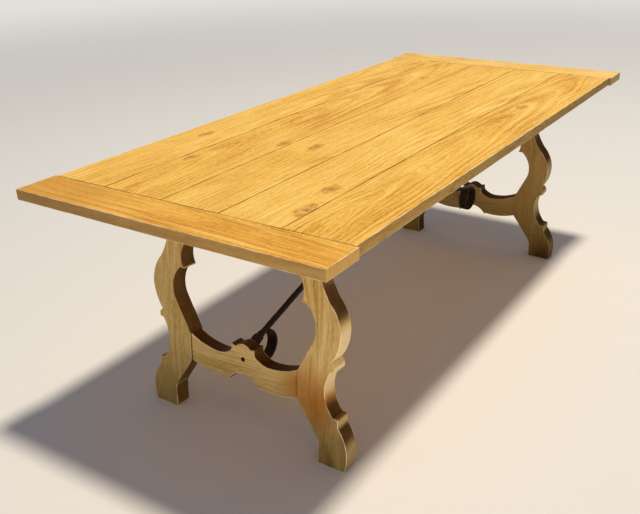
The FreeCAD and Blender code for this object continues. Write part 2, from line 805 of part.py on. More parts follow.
os.makedirs("parts", exist_ok=True)
for node, solid in build().items():
    solid.exportStep("parts/" + node + ".step")
    print(node, len(solid.Solids), "solids", round(solid.Volume / 1000), "cm3", solid.isValid())
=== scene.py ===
# %% [markdown]
# # A farmhouse trestle table
# This notebook dresses a finished CAD model of a table. The model brings every
# joint, peg and screw at its real size. What is added here is what hands, wax
# and years give to it: softened arrises, grain, knots, forge marks and light.

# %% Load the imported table
import json
import math

import bmesh
import bpy
from mathutils import Matrix, Vector, noise
from mathutils.bvhtree import BVHTree


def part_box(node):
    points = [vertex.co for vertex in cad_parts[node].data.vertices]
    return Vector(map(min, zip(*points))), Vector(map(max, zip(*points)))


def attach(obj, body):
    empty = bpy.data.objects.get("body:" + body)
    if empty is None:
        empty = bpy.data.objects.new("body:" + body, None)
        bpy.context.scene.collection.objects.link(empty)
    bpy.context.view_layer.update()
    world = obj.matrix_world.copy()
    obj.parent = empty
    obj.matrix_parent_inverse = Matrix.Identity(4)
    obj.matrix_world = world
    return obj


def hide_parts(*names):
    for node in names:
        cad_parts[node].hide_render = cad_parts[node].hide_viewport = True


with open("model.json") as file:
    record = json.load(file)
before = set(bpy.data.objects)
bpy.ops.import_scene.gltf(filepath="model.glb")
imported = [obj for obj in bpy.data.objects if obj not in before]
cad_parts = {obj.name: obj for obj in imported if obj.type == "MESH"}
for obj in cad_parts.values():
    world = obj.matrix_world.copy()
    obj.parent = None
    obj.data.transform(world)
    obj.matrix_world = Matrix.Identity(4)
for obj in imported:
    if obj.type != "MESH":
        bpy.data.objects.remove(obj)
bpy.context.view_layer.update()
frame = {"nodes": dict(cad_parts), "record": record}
MM = 0.001
X, Y, Z = Vector((1, 0, 0)), Vector((0, 1, 0)), Vector((0, 0, 1))

# %% [markdown]
# ## Small helpers
# Colours are easier to choose as hex codes, as on a colour card, but the
# shaders work in linear light, so one function turns one into the other.
# A second function adds a shader or geometry node with its settings, its
# values and its links in one call, which keeps the node trees readable. The
# four kinds of node that come most often get short names. Two more functions
# start an empty material and put a new object into the scene.

# %% Helpers
MATH = "ShaderNodeMath"
VECTOR_MATH = "ShaderNodeVectorMath"
MAP_RANGE = "ShaderNodeMapRange"
NOISE = "ShaderNodeTexNoise"


def linear(code):
    """A hex sRGB colour as linear RGBA."""
    channels = [int(code[place:place + 2], 16) / 255 for place in (1, 3, 5)]
    return [c / 12.92 if c <= 0.04045 else ((c + 0.055) / 1.055) ** 2.4 for c in channels] + [1.0]


def node(tree, kind, values=None, links=None, **settings):
    """A new node with its settings, socket values and links from sockets or first outputs."""
    made = tree.nodes.new(kind)
    for name, value in settings.items():
        setattr(made, name, value)
    for socket, value in (values or {}).items():
        made.inputs[socket].default_value = value
    for socket, source in (links or {}).items():
        output = source.outputs[0] if isinstance(source, bpy.types.Node) else source
        tree.links.new(output, made.inputs[socket])
    return made


def empty_material(name):
    """A new material and its node tree, with nothing in it."""
    material = bpy.data.materials.new(name)
    material.use_nodes = True
    material.node_tree.nodes.clear()
    return material, material.node_tree


def in_scene(name, data):
    """A new object that holds the data and belongs to the scene."""
    made = bpy.data.objects.new(name, data)
    bpy.context.scene.collection.objects.link(made)
    return made


print("honey in linear light:", [round(c, 3) for c in linear("#eab458")])

# %% [markdown]
# ## The camera
# The camera stands where the photographer stood: a little under eye height,
# off the table's near corner, looking down along it. Its place and its three
# angles were solved from the corners of the top and from the feet. The same
# sum shows that the picture was cropped after it was taken, because its centre
# isn't the point that the lens looked at. A small lens shift does what the
# crop did, and leaves the perspective as it was.

# %% Camera
CAMERA_PLACE = Vector((-2.2834, -1.3506, 1.4680))
CAMERA_AZIMUTH = math.radians(-57.264)
CAMERA_ELEVATION = math.radians(23.688)
CAMERA_ROLL = math.radians(-1.355)
FOCAL_PIXELS = 799.3
PICTURE_SIZE = (640, 514)
LENS_CENTRE = (356.9, 242.0)
SENSOR_WIDTH = 36.0
CLIP_RANGE = (0.05, 200.0)

picture_width, picture_height = PICTURE_SIZE
camera_data = bpy.data.cameras.new("camera")
camera_data.sensor_width = SENSOR_WIDTH
camera_data.lens = SENSOR_WIDTH * FOCAL_PIXELS / picture_width
camera_data.shift_x = (picture_width / 2 - LENS_CENTRE[0]) / picture_width
camera_data.shift_y = (LENS_CENTRE[1] - picture_height / 2) / picture_width
camera_data.clip_start, camera_data.clip_end = CLIP_RANGE
back = Vector((math.sin(CAMERA_AZIMUTH) * math.cos(CAMERA_ELEVATION),
               -math.cos(CAMERA_AZIMUTH) * math.cos(CAMERA_ELEVATION), math.sin(CAMERA_ELEVATION)))
level = (-back).cross(Z).normalized()
upright = level.cross(-back)
right = level * math.cos(CAMERA_ROLL) + upright * math.sin(CAMERA_ROLL)
up = upright * math.cos(CAMERA_ROLL) - level * math.sin(CAMERA_ROLL)
turn = Matrix((right, up, back)).transposed().to_4x4()
camera = in_scene("camera", camera_data)
camera.matrix_world = Matrix.Translation(CAMERA_PLACE) @ turn
bpy.context.scene.camera = camera
print("lens", round(camera_data.lens, 2), "mm")
print("shift", round(camera_data.shift_x, 3), round(camera_data.shift_y, 3))

# %% [markdown]
# ## The floor
# A studio floor is one plain pale sheet of matt paint. Far from the table it
# turns clear, so that it melts into the backdrop, and its underside is clear
# too, so that the table can be looked at from below.

# %% Floor
FLOOR_HALF = 30.0
FLOOR_FADE = (3.5, 11.0)
FLOOR_COLOUR = "#f2efe8"

floor_mesh = bpy.data.meshes.new("studio_floor")
floor_mesh.from_pydata([(-FLOOR_HALF, -FLOOR_HALF, 0), (FLOOR_HALF, -FLOOR_HALF, 0),
                        (FLOOR_HALF, FLOOR_HALF, 0), (-FLOOR_HALF, FLOOR_HALF, 0)],
                       [], [(0, 1, 2, 3)])
floor = in_scene("studio_floor", floor_mesh)
floor_paint, tree = empty_material("matt_studio_paint")
matt = node(tree, "ShaderNodeBsdfPrincipled",
            {"Base Color": linear(FLOOR_COLOUR), "Roughness": 0.95, "Specular IOR Level": 0.1})
clear = node(tree, "ShaderNodeBsdfTransparent")
spot = node(tree, "ShaderNodeTexCoord")
distance = node(tree, VECTOR_MATH, links={0: spot.outputs["Object"]}, operation="LENGTH")
fade = node(tree, MAP_RANGE, {"From Min": FLOOR_FADE[0], "From Max": FLOOR_FADE[1]},
            {"Value": distance.outputs["Value"]}, interpolation_type="SMOOTHSTEP")
side = node(tree, "ShaderNodeNewGeometry")
unseen = node(tree, MATH, links={0: fade, 1: side.outputs["Backfacing"]}, operation="MAXIMUM")
melted = node(tree, "ShaderNodeMixShader", links={0: unseen, 1: matt, 2: clear})
node(tree, "ShaderNodeOutputMaterial", links={"Surface": melted})
floor_mesh.materials.append(floor_paint)
print("the floor fades from", FLOOR_FADE[0], "m to", FLOOR_FADE[1], "m")

# %% [markdown]
# ## The lamps
# The light is a round soft lamp high above: the top is bright, and the
# trestles stand in the top's shadow. A reflector card lights them: a low soft
# light off the near corner, under the height of the top, which it leaves
# alone. Both are hidden from the camera, as a photographer would keep them out
# of the frame. Light linking keeps the card's light off the floor, where it
# would make a hot spot.

# %% Lamps
LAMP_COLOUR = "#fff4e2"
LAMP_PLACE = Vector((0.79, -1.82, 11.5))
LAMP_TARGET = Vector((0, 0, 0.5))
LAMP_SIZE = (1.3, 1.3)
LAMP_POWER = 1080.0
LAMP_SPREAD = math.pi
CARD_PLACE = Vector((-2.0, -1.75, 0.22))
CARD_TARGET = Vector((-1.0, 0.1, 0.42))
CARD_SIZE = (1.3, 0.40)
CARD_POWER = 8.0
CARD_SPREAD = math.radians(100)

off_the_floor = bpy.data.collections.new("off_the_floor")
off_the_floor.objects.link(floor)
off_the_floor.collection_objects[0].light_linking.link_state = "EXCLUDE"
for name, shape, place, target, size, power, spread, receivers in (
        ("soft_lamp", "DISK", LAMP_PLACE, LAMP_TARGET, LAMP_SIZE, LAMP_POWER, LAMP_SPREAD, None),
        ("reflector_card", "RECTANGLE", CARD_PLACE, CARD_TARGET, CARD_SIZE, CARD_POWER,
         CARD_SPREAD, off_the_floor)):
    lamp_data = bpy.data.lights.new(name, "AREA")
    lamp_data.shape = shape
    lamp_data.size, lamp_data.size_y = size
    lamp_data.energy = power
    lamp_data.color = linear(LAMP_COLOUR)[:3]
    lamp_data.spread = spread
    lamp = in_scene(name, lamp_data)
    lamp.location = place
    lamp.rotation_mode = "QUATERNION"
    lamp.rotation_quaternion = (target - place).to_track_quat("-Z", "Y")
    lamp.visible_camera = False
    if receivers:
        lamp.light_linking.receiver_collection = receivers
    print(name, power, "W at", round(place.length, 2), "m")

# %% [markdown]
# ## Fill and backdrop
# The world adds a little even fill, cooler than the lamp. The camera and
# polished surfaces see the world in the floor's own pale colour instead, which
# gives the floor something to melt into.

# %% World
FILL_STRENGTH = 0.25
FILL_COLOUR = "#cfdfff"
BACKDROP_STRENGTH = 0.86

world = bpy.data.worlds.new("studio")
bpy.context.scene.world = world
world.use_nodes = True
tree = world.node_tree
tree.nodes.clear()
rays = node(tree, "ShaderNodeLightPath").outputs
seen = node(tree, MATH, links={0: rays["Is Camera Ray"], 1: rays["Is Glossy Ray"]},
            operation="MAXIMUM")
strength = node(tree, MAP_RANGE,
                {"To Min": FILL_STRENGTH, "To Max": BACKDROP_STRENGTH}, {"Value": seen})
hue = node(tree, "ShaderNodeMix", {6: linear(FILL_COLOUR), 7: linear(FLOOR_COLOUR)},
           {0: seen}, data_type="RGBA")
glow = node(tree, "ShaderNodeBackground", links={"Color": hue.outputs[2], "Strength": strength})
node(tree, "ShaderNodeOutputWorld", links={"Surface": glow})
print("fill", FILL_STRENGTH, "and backdrop", BACKDROP_STRENGTH)

# %% [markdown]
# ## Clean copies of the boards
# A CAD mesh is loose triangles. A copy is joined up, and its flat triangles
# are melted into whole faces, so that its edges are the board's real edges.
# Later the copy is cut across at regular steps, which gives it points that can
# move. Its loose parts are told apart by walking along their edges.

# %% Copies, cuts and islands
JOIN_DISTANCE = 0.01 * MM
FLAT_ANGLE = math.radians(0.5)
CUT_TOLERANCE = 1e-6


def merged_copy(node_name):
    """A CAD node's mesh with its loose triangles joined up again."""
    bm = bmesh.new()
    bm.from_mesh(frame["nodes"][node_name].data)
    bmesh.ops.remove_doubles(bm, verts=bm.verts[:], dist=JOIN_DISTANCE)
    bmesh.ops.dissolve_limit(bm, angle_limit=FLAT_ANGLE, verts=bm.verts[:], edges=bm.edges[:])
    return bm


def crosscut(bm, axis, step):
    """Cuts a mesh across an axis at regular steps."""
    places = [v.co.dot(axis) for v in bm.verts]
    low, high = min(places), max(places)
    for number in range(1, int((high - low) / step)):
        geometry = bm.verts[:] + bm.edges[:] + bm.faces[:]
        bmesh.ops.bisect_plane(bm, geom=geometry, dist=CUT_TOLERANCE,
                               plane_co=axis * (low + number * step), plane_no=axis)


def islands(bm, edges=None):
    """The groups of vertices that a mesh's edges, or some of them, hold together."""
    beside = {}
    for edge in bm.edges if edges is None else edges:
        for vert in edge.verts:
            beside.setdefault(vert, []).append(edge.other_vert(vert))
    found, groups = set(), []
    for start in beside:
        stack, island = [start], set()
        while stack and start not in found:
            vert = stack.pop()
            if vert not in island:
                island.add(vert)
                stack.extend(beside[vert])
        if island:
            found |= island
            groups.append(island)
    return groups


def box_of(verts):
    """The low and high corner of some vertices."""
    return [Vector([pick(v.co[axis] for v in verts) for axis in range(3)]) for pick in (min, max)]


bm = merged_copy("plank_1")
print("a plank's copy has", len(bm.faces), "faces")

# %% [markdown]
# ## The edges that wear
# The CAD boards have knife-sharp arrises. On the real table the arrises were
# eased with a plane and then worn round. Only the outline of a board's two
# broad faces is eased here: holes, tongues and mortises stay as they are, and
# so does a glued joint, which has no arris.

# %% Broad outline
BROAD_FACING = 0.99
HOLE_SIZE = 50 * MM
TOUCH = 0.05 * MM


def broad_outline(bm, facing, glued):
    """The edges round a board's two broad faces, without holes and glued joints."""
    places = [v.co.dot(facing) for v in bm.verts]
    ends = min(places), max(places)
    broad = {face for face in bm.faces if abs(face.normal.dot(facing)) > BROAD_FACING
             and min(abs(face.verts[0].co.dot(facing) - end) for end in ends) < TOUCH}
    rims = [edge for edge in bm.edges if sum(face in broad for face in edge.link_faces) == 1]
    large = set()
    for island in islands(bm, rims):
        low, high = box_of(island)
        if (high - low).length > HOLE_SIZE:
            large |= island
    neighbours = [BVHTree.FromBMesh(merged_copy(name)) for name in glued]
    outline = []
    for edge in rims:
        middle = (edge.verts[0].co + edge.verts[1].co) / 2
        apart = all(board.find_nearest(middle)[3] > TOUCH for board in neighbours)
        if edge.verts[0] in large and apart:
            outline.append(edge)
    return outline


print("of its", len(bm.edges), "edges", len(broad_outline(bm, Z, ())), "wear")
bm.free()

# %% [markdown]
# ## Wear and sawn edges
# The outline is bevelled first, and the board is cut across afterwards, so
# that the worn strip can wander. Cuts made before the bevel would have held it
# to a hair's width, because Blender narrows a whole bevel to what its shortest
# edge can bear. The strips get an `arris` value, which is below zero where
# they hold old dirt. End grain and scroll-cut edges get a `sawn` value: 1 where
# they get painted shade, -1 where they are open and keep a colour of their own.
# On a curved edge it is shared out between neighbours, so that the painted
# shade fades out.

# %% Wear and sawn edges
WEAR_STEP = 24 * MM
WEAR_DEPTH = 0.7 * MM
WEAR_WAVE = 23.0
WEAR_BIAS = 0.4
ARRIS_PROFILE = 0.55
SAWN_FACING = 0.5


def eased(bm, along, facing, arris, glued, dark_arris):
    """Bevels a board's outline, cuts the board across and gives the points that wear."""
    arris_layer = bm.faces.layers.float["arris"]
    outline = broad_outline(bm, facing, glued)
    bevel = bmesh.ops.bevel(bm, geom=outline, offset=arris, offset_type="OFFSET", segments=2,
                            profile=ARRIS_PROFILE, affect="EDGES", clamp_overlap=True)
    for face in bevel["faces"]:
        face[arris_layer] = 1.0
    crosscut(bm, along, WEAR_STEP)
    bm.normal_update()
    worn = set()
    for face in bm.faces:
        if face[arris_layer]:
            dark = dark_arris and dark_arris(face.calc_center_median())
            face[arris_layer] = -1.0 if dark else 1.0
            worn.update(face.verts)
    return worn


def mark_sawn(bm, facing, painted_shade):
    """Gives sawn edges a value from open to painted shade, shared out at their corners."""
    sawn_layer = bm.loops.layers.float["sawn"]
    shade_of = {}
    for face in bm.faces:
        if abs(face.normal.dot(facing)) < SAWN_FACING:
            middle = face.calc_center_median()
            shade_of[face] = painted_shade(middle, face.normal) if painted_shade else -1.0
    for face in shade_of:
        for corner in face.loops:
            around = [shade_of[other] for other in corner.vert.link_faces if other in shade_of]
            corner[sawn_layer] = sum(around) / len(around)


def wear_down(worn, seed):
    """Moves the points of the worn strips inwards by an uneven amount."""
    for vert in worn:
        depth = noise.noise(vert.co * WEAR_WAVE + Vector((seed, 0, 0))) + WEAR_BIAS
        vert.co -= vert.normal * WEAR_DEPTH * max(depth, 0.0)


print("the worn strips wander in steps of", round(WEAR_STEP / MM), "mm")

# %% [markdown]
# ## A dressed board
# The copy also carries what its material needs to know about it: `grain`, each
# point measured along, across and into the board, so that the figure always
# runs with the board, and `board`, a number that makes each board different.
# The finished piece rides the table's one body and stands for its CAD node.

# %% Dressed boards
SMOOTH_ANGLE = math.radians(15)


def measure_grain(mesh, along, across, facing, seed):
    """Stores each point's place in the board and the board's number."""
    sideways = [v.co.dot(across) for v in mesh.vertices]
    middle = (min(sideways) + max(sideways)) / 2
    surface = max(v.co.dot(facing) for v in mesh.vertices)
    grain = mesh.attributes.new("grain", "FLOAT_VECTOR", "POINT")
    for place, vert in enumerate(mesh.vertices):
        depth = surface - vert.co.dot(facing)
        grain.data[place].vector = (vert.co.dot(along), sideways[place] - middle, depth)
    board = mesh.attributes.new("board", "FLOAT", "POINT")
    board.data.foreach_set("value", [float(seed)] * len(mesh.vertices))


def dressed(node_name, along, across, arris, seed, dark_arris=None, painted_shade=None, glued=()):
    """A board-like copy of a CAD node with eased, worn arrises and its grain attributes."""
    facing = along.cross(across)
    bm = merged_copy(node_name)
    bm.faces.layers.float.new("arris")
    bm.loops.layers.float.new("sawn")
    worn = eased(bm, along, facing, arris, glued, dark_arris)
    mark_sawn(bm, facing, painted_shade)
    wear_down(worn, seed)
    for face in bm.faces:
        face.smooth = True
    mesh = bpy.data.meshes.new(node_name)
    bm.to_mesh(mesh)
    bm.free()
    mesh.set_sharp_from_angle(angle=SMOOTH_ANGLE)
    measure_grain(mesh, along, across, facing, seed)
    return in_scene("worn_" + node_name, mesh)


def finish_piece(piece, node_name, material):
    """Gives a finished piece its material and puts it in its CAD node's place."""
    if material:
        piece.data.materials.append(material)
    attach(piece, "root")
    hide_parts(node_name)


print("an edge is sharp from", round(math.degrees(SMOOTH_ANGLE)), "degrees")

# %% [markdown]
# ## The noises in a board
# Four noises, stretched along the board, make the wood uneven. `sway` and
# `ripple` bend its grain; `blotch` and `mottle` are the slow patches and the
# fine specks of old wax. The board's number shifts them, so that no two boards
# show the same part of a noise, and picks a chance value for each board.

# %% Noises
BOARD_SHIFT = (1.7, 0.9, 0.3)
CLOUD_ROUGHNESS = 0.58
CLOUDS = {"sway": ((1.3, 5.0, 5.0), 1.0), "ripple": ((7.0, 20.0, 20.0), 1.0),
          "blotch": ((3.2, 9.0, 9.0), 3.0), "mottle": ((55.0, 150.0, 150.0), 3.0)}


def clouds_in(tree, grain, board):
    """Nodes that give a board its noises and its chance value."""
    shifted = node(tree, VECTOR_MATH, {1: BOARD_SHIFT}, {0: board, 2: grain},
                   operation="MULTIPLY_ADD")
    clouds = {}
    for name, (scale, detail) in CLOUDS.items():
        stretched = node(tree, VECTOR_MATH, {1: scale}, {0: shifted}, operation="MULTIPLY")
        clouds[name] = node(tree, NOISE,
                            {"Scale": 1.0, "Detail": detail, "Roughness": CLOUD_ROUGHNESS},
                            {"Vector": stretched})
    chance = node(tree, "ShaderNodeTexWhiteNoise", links={"W": board}, noise_dimensions="1D")
    clouds["chance"] = chance.outputs["Value"]
    return clouds


print("noises:", list(CLOUDS))

# %% [markdown]
# ## How the grain bends
# Grain is a slice through the tree's rings. The slow noise makes its lines
# sway, and the quick one makes them ripple. Each knot then pushes the lines
# apart, most at its heart and not at all four of its widths away, so that the
# grain flows round it on both sides. The bent measure across the board is what
# rings, fibres and pores all use.

# %% Grain lines
SWAY_REACH = 0.085
RIPPLE_REACH = 0.011
BOARD_SPREAD = 0.09
KNOT_STRETCH = 2.0
KNOT_FLOW = 4.0
KNOT_PUSH = 0.8


def round_knots(tree, across, place, knots):
    """Nodes that lead the grain round the knots and measure the nearest one in widths."""
    nearest = None
    for x, y, size in knots:
        away = node(tree, VECTOR_MATH, {1: (x, y, 0)}, {0: place}, operation="SUBTRACT")
        oval = node(tree, VECTOR_MATH, {1: (1 / (KNOT_STRETCH * size), 1 / size, 0)},
                    {0: away}, operation="MULTIPLY")
        widths = node(tree, VECTOR_MATH, links={0: oval}, operation="LENGTH").outputs["Value"]
        push = node(tree, MAP_RANGE,
                    {"From Min": 0.0, "From Max": KNOT_FLOW, "To Min": -KNOT_PUSH, "To Max": 0.0},
                    {"Value": widths}, interpolation_type="SMOOTHERSTEP")
        side = node(tree, "ShaderNodeSeparateXYZ", links={0: away})
        across = node(tree, MATH, links={0: side.outputs["Y"], 1: push, 2: across},
                      operation="MULTIPLY_ADD")
        if nearest is None:
            nearest = widths
        else:
            nearest = node(tree, MATH, links={0: nearest, 1: widths}, operation="MINIMUM")
    return across, nearest


def grain_lines(tree, place, knots):
    """Nodes that give a board's axes, number, bent grain, noises and nearest knot."""
    grain = node(tree, "ShaderNodeAttribute", attribute_name="grain").outputs["Vector"]
    board = node(tree, "ShaderNodeAttribute", attribute_name="board").outputs["Fac"]
    clouds = clouds_in(tree, grain, board)
    axes = node(tree, "ShaderNodeSeparateXYZ", links={0: grain}).outputs
    across = axes["Y"]
    for name, reach in (("sway", SWAY_REACH), ("ripple", RIPPLE_REACH)):
        across = node(tree, MATH, {1: reach}, {0: clouds[name], 2: across},
                      operation="MULTIPLY_ADD")
    across, nearest = round_knots(tree, across, place, knots)
    spread = node(tree, MAP_RANGE, {"To Min": -BOARD_SPREAD, "To Max": BOARD_SPREAD},
                  {"Value": clouds["chance"]})
    across = node(tree, MATH, links={0: across, 1: spread}, operation="ADD")
    return axes, board, across, clouds, nearest


print("sway", round(SWAY_REACH / MM), "mm, ripple", round(RIPPLE_REACH / MM), "mm")

# %% [markdown]
# ## How the figure is drawn
# Each ring leaves a pale band of early wood and a dark one of late wood. The
# rings are circles round a pith line under the board, so a plain-sawn board
# shows wide bands in its middle and narrow ones at its sides. The pith line
# dips a little along the board, which draws the bands out into arches. Fibres
# are fine streaks, and pores are short dark dashes. Real fibres are finer than
# half a millimetre, which a picture this size can't show: they are drawn some
# 4 mm apart. The shares add bands, fibres, blotches and mottle up to one
# value, a step up or down makes each board's own tone, and a colour ramp turns
# the sum into wood.

# %% Figure
PITH_DEPTH = 90 * MM
PITH_DIP = 0.05
FIGURE_ROUGHNESS = 0.68
STREAKS = (((2.4, 1.0, 3.1), 5.0), ((6.0, 1.25, 5.3), 3.0))
FIGURE_SHARES = (0.32, 0.46, 0.26, 0.22)
BOARD_TONE = 0.03


def figure_of(tree, ring, fibre, axes, board, across, clouds):
    """Nodes that give a board's figure and its pores."""
    pith = node(tree, MATH, {1: PITH_DIP, 2: PITH_DEPTH}, {0: axes["X"]}, operation="MULTIPLY_ADD")
    sunk = node(tree, MATH, links={0: pith, 1: axes["Z"]}, operation="SUBTRACT")
    in_slice = node(tree, "ShaderNodeCombineXYZ", links={"X": across, "Y": sunk})
    radius = node(tree, VECTOR_MATH, links={0: in_slice}, operation="LENGTH")
    counted = node(tree, MATH, {1: 1 / ring}, {0: radius.outputs["Value"]}, operation="MULTIPLY")
    bands = node(tree, NOISE, {"Scale": 1.0, "Detail": 5.0, "Roughness": FIGURE_ROUGHNESS},
                 {"W": counted}, noise_dimensions="1D")
    flow = node(tree, "ShaderNodeCombineXYZ", links={"X": axes["X"], "Y": across, "Z": board})
    streaks = []
    for (lengthwise, sideways, inward), detail in STREAKS:
        stretched = node(tree, VECTOR_MATH, {1: (lengthwise, sideways / fibre, inward)},
                         {0: flow}, operation="MULTIPLY")
        streaks.append(node(tree, NOISE,
                            {"Scale": 1.0, "Detail": detail, "Roughness": FIGURE_ROUGHNESS},
                            {"Vector": stretched}))
    fibres, dashes = streaks
    figure = node(tree, MAP_RANGE, {"To Min": -BOARD_TONE / 2, "To Max": BOARD_TONE / 2},
                  {"Value": clouds["chance"]})
    parts = (bands, fibres, clouds["blotch"], clouds["mottle"])
    for share, part in zip(FIGURE_SHARES, parts):
        figure = node(tree, MATH, {1: share}, {0: part, 2: figure}, operation="MULTIPLY_ADD")
    pores = node(tree, MAP_RANGE, {"From Min": 0.55, "From Max": 0.68, "To Max": 0.6},
                 {"Value": dashes})
    return figure, pores


print("the figure's mean is about", sum(FIGURE_SHARES) / 2)

# %% [markdown]
# ## Knots, stains and painted shade
# What lies over the figure comes in layers: a share from 0 to 1 and a colour.
# A knot is a branch that the saw cut through. It shows as a brown oval with
# rings of its own in a patch of yellower wood, and a noise frays both. A warm
# spot is where a flat face took more stain. Cut edges that face away from the
# light are painted dark brown, which is painted shade. Open cut edges get a
# colour of their own: weathered pale on the trestles, and darker on the
# planks' long edges, which is painted shade too.

# %% Knot, stain and painted shade layers
KNOT_FRAY = 3.6
KNOT_TINT = "#aa6119"
HALO_TINT = "#f6c55c"
WEATHERED_AND_SHADE_SHARE = 0.75


def knot_layers(tree, place, nearest):
    """The layers of the knots: the yellow patch and the brown rings."""
    wobble = node(tree, NOISE, {"Scale": 60.0, "Detail": 3.0}, {"Vector": place})
    frayed = node(tree, MATH, {1: KNOT_FRAY}, {0: wobble, 2: nearest}, operation="MULTIPLY_ADD")
    halo = node(tree, MAP_RANGE, {"From Min": 3.4, "From Max": 6.2, "To Min": 0.5, "To Max": 0.0},
                {"Value": frayed}, interpolation_type="SMOOTHSTEP")
    ring_count = node(tree, MATH, {1: 0.8}, {0: nearest, 2: wobble}, operation="MULTIPLY_ADD")
    branch = node(tree, NOISE, {"Scale": 3.0, "Detail": 2.0},
                  {"W": ring_count}, noise_dimensions="1D")
    ringed = node(tree, MAP_RANGE,
                  {"From Min": 0.36, "From Max": 0.60, "To Min": 0.35, "To Max": 1.0},
                  {"Value": branch})
    cover = node(tree, MAP_RANGE, {"From Min": 2.1, "From Max": 4.1, "To Min": 1.0, "To Max": 0.0},
                 {"Value": frayed}, interpolation_type="SMOOTHSTEP")
    knotty = node(tree, MATH, links={0: ringed, 1: cover}, operation="MULTIPLY")
    return [(halo, HALO_TINT), (knotty, KNOT_TINT)]


def spot_layers(tree, place, spots, blotch):
    """The layers of the warm spots."""
    layers = []
    for x, y, z, reach, strength, tint in spots:
        away = node(tree, VECTOR_MATH, {1: (x, y, z)}, {0: place}, operation="DISTANCE")
        near = node(tree, MAP_RANGE,
                    {"From Min": 0.3 * reach, "From Max": reach, "To Min": strength, "To Max": 0.0},
                    {"Value": away.outputs["Value"]}, interpolation_type="SMOOTHSTEP")
        uneven = node(tree, MATH, links={0: near, 1: blotch}, operation="MULTIPLY", use_clamp=True)
        layers.append((uneven, tint))
    return layers


def marked_layers(tree, attribute, rows):
    """Layers where an attribute marks the board, by rows of share, colour and unevenness."""
    mark = node(tree, "ShaderNodeAttribute", attribute_name=attribute).outputs["Fac"]
    layers = []
    for share, tint, uneven in rows:
        marked = node(tree, MATH, {1: share}, {0: mark}, operation="MULTIPLY", use_clamp=True)
        patch = node(tree, MATH, links={0: marked, 1: uneven}, operation="MULTIPLY", use_clamp=True)
        layers.append((patch, tint))
    return layers


def sawn_layers(tree, painted_shade, weathered_and_shade, blotch):
    """The layers of the cut edges: painted shade on the sheltered ones, and the open ones' own
    colour.
    """
    blotchy = node(tree, MAP_RANGE, {"To Min": 0.78, "To Max": 1.1}, {"Value": blotch})
    return marked_layers(tree, "sawn", ((1.0, painted_shade, blotchy),
                                        (-WEATHERED_AND_SHADE_SHARE, weathered_and_shade, blotchy)))


print("a knot is", KNOT_TINT, "in", HALO_TINT)

# %% [markdown]
# ## Dust, painted shade and rubbing
# Feet are darker towards the floor: partly dust and mop water, partly painted
# shade. Handling rubs the arrises back to bare straw colour in patches, partly
# a painted highlight, and old dirt cakes in the joints.

# %% Dust, painted shade and rubbing layers
DUST_AND_SHADE_TOP = 0.25
# The dust tint is partly painted shade: it darkens the feet towards the floor.
DUST_AND_SHADE_TINT = "#4e3811"
DIRT_TINT = "#57300c"


def dust_and_shade_layer(tree, place, dust_and_shade, blotch):
    """The layer of dust and painted shade that thins out upwards from the floor."""
    height = node(tree, "ShaderNodeSeparateXYZ", links={0: place})
    low = node(tree, MAP_RANGE, {"From Max": DUST_AND_SHADE_TOP, "To Min": 2 * dust_and_shade, "To Max": 0.0},
               {"Value": height.outputs["Z"]})
    dusty_and_shaded = node(tree, MATH, links={0: low, 1: blotch}, operation="MULTIPLY", use_clamp=True)
    return dusty_and_shaded, DUST_AND_SHADE_TINT


# The pale rubbed arrises are partly wear and partly a painted highlight.
def arris_layers(tree, place, arris, rub_and_highlight_share):
    """The layers of the rubbed arrises, partly a painted highlight, and of the dirt in the joints.
    """
    rub = node(tree, NOISE, {"Scale": 24.0, "Detail": 3.0}, {"Vector": place})
    rub_and_highlight = node(tree, MAP_RANGE,
                  {"From Min": 0.38, "From Max": 0.60, "To Min": 0.2, "To Max": 1.0},
                  {"Value": rub})
    caked = node(tree, MAP_RANGE,
                 {"From Min": 0.3, "From Max": 0.6, "To Min": 0.95, "To Max": 0.5}, {"Value": rub})
    return marked_layers(tree, "arris", ((rub_and_highlight_share, arris, rub_and_highlight), (-1.0, DIRT_TINT, caked)))


print("dust reaches up to", DUST_AND_SHADE_TOP, "m")

# %% [markdown]
# ## Waxed and worn wood
# The table is a pale softwood, sawn, planed and rubbed with honey-brown wax.
# Wax and sun make the flat faces yellow. The layers are laid over the figure
# one after the other: pores, knots, stains, painted shade on cut edges, dust
# with painted shade, and rubbing that is partly a painted highlight. Old wax
# has a soft gloss, uneven with the blotches.

# %% Wood recipe
RAMP_PLACES = (0.48, 0.555, 0.615, 0.675, 0.765)
SHEEN_RANGE = (-0.12, 0.16)
WOOD_IOR = 1.45


